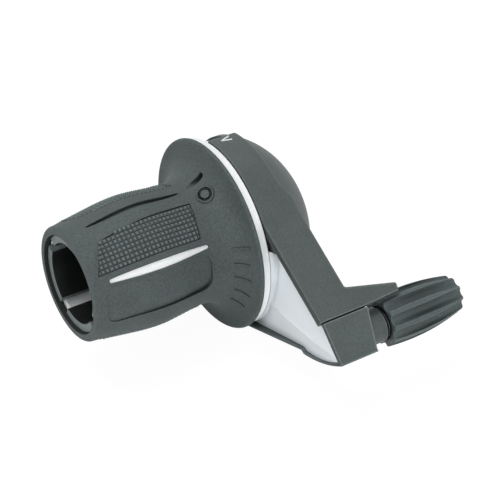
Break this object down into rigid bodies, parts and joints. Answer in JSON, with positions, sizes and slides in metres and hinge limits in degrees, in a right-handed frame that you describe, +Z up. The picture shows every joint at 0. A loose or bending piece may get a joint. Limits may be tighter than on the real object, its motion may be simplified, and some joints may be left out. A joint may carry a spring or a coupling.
{
  "type": "twist grip shifter",
  "caption": "Right-hand twist grip gear shifter: flared rubber grip on a turning core, indicator window, arm housing with a silver side panel and a fluted barrel adjuster.",
  "frame": {"origin": "on the handlebar's axis, at the back edge of the grip's rubber flange", "axes": "+X along the handlebar towards the middle of the bike, -Y to the front of the bike, +Z up"},
  "size_m": [0.0897, 0.0857, 0.0546],
  "materials": {
    "black_plastic": "fine moulded grain, charcoal black",
    "cover_plastic": "fine moulded grain, charcoal black",
    "silver_plastic": "smooth silver grey",
    "white_plastic": "smooth white",
    "grip_rubber": "matt charcoal with pyramid pads",
    "knob_plastic": "matt charcoal",
    "brass_screw": "plain",
    "spring_steel": "plain bright",
    "dark_steel": "black oxide"
  },
  "bodies": {
    "housing": {"housing_body": "black_plastic", "bar_sleeve": "black_plastic", "top_cover": "cover_plastic", "side_panel": "silver_plastic", "detent_spring": "spring_steel", "clamp_screw": "dark_steel", "clamp_nut": "spring_steel", "cover_screw": "dark_steel", "cable_guide": "spring_steel", "adjuster_spring": "dark_steel"},
    "grip": {"grip_core": "white_plastic", "cable_spool": "white_plastic", "grip_rubber": "grip_rubber"},
    "click": {"click_sleeve": "black_plastic"},
    "adjuster": {"adjuster_knob": "knob_plastic", "adjuster_stem": "brass_screw"}
  },
  "joints": [
    {"name": "grip_twist", "type": "hinge", "parent": "housing", "child": "grip", "pos_m": [0, 0, 0], "axis": [1, 0, 0], "range_deg": [0, 60], "deforming": ["detent_spring"]},
    {"name": "click_slide", "type": "slide", "parent": "housing", "child": "click", "axis": [1, 0, 0], "range_m": [-0.0008, 0], "stiffness_N_per_m": 1500, "springref_m": 0.001, "deforming": ["adjuster_spring"]},
    {"name": "adjuster_turn", "type": "hinge", "parent": "housing", "child": "adjuster", "pos_m": [0.0335, -0.049, -0.0084], "axis": [1, 0, 0], "range_deg": [0, 1800]}
  ]
}
